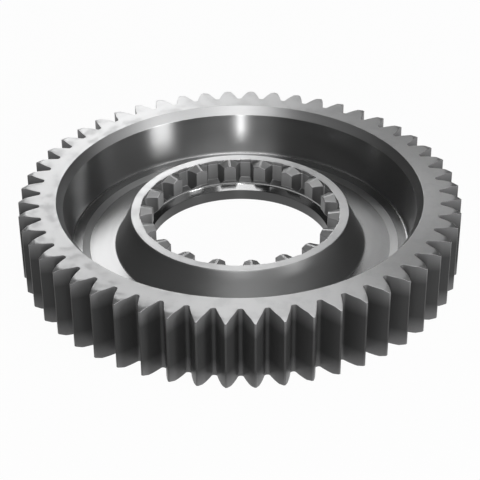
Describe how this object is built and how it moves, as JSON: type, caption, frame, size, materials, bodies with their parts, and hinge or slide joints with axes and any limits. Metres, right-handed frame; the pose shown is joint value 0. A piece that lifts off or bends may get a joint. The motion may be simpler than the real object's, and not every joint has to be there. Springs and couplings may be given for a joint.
{
  "type": "spur gear with toothed bore",
  "caption": "Straight-cut gear ring with a sunk web, a raised conical hub and inner clutch teeth in its bore.",
  "frame": {"origin": "centre of the bore in the plane of the lower faces", "axes": "+Z along the gear's axis, from the lower faces towards the hub's toothed end; +X through the centre of one outer tooth and one inner tooth"},
  "size_m": [0.232, 0.232, 0.04],
  "materials": {
    "ground_steel": "turned and ground bare steel, satin to bright"
  },
  "bodies": {
    "root": {"gear": "ground_steel"}
  },
  "joints": []
}
